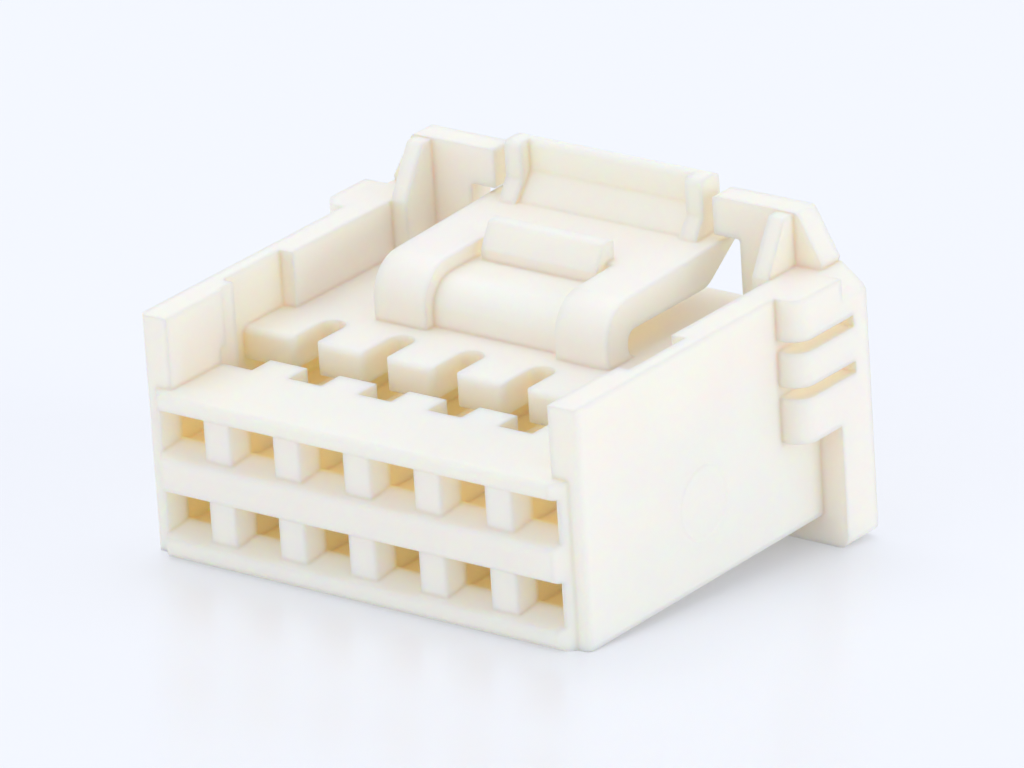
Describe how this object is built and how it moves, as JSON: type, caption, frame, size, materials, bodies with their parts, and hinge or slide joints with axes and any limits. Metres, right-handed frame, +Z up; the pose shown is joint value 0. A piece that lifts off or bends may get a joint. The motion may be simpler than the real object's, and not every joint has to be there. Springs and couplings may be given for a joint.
{
  "type": "wire to board connector housing",
  "caption": "Female wire to board connector housing in ivory plastic: two rows of terminal cavities, a comb over the upper row, a cantilever locking arm, finned side walls and a rear flange.",
  "frame": {"origin": "middle of the grid of terminal openings, in the plane of the mating face (the front of the bars)", "axes": "+X along the rows of cavities, +Y from the mating face to the wire end, +Z up to the locking arm"},
  "size_m": [0.0136, 0.0106, 0.0082],
  "materials": {
    "nylon": "satin"
  },
  "bodies": {
    "root": {"housing": "nylon"}
  },
  "joints": []
}
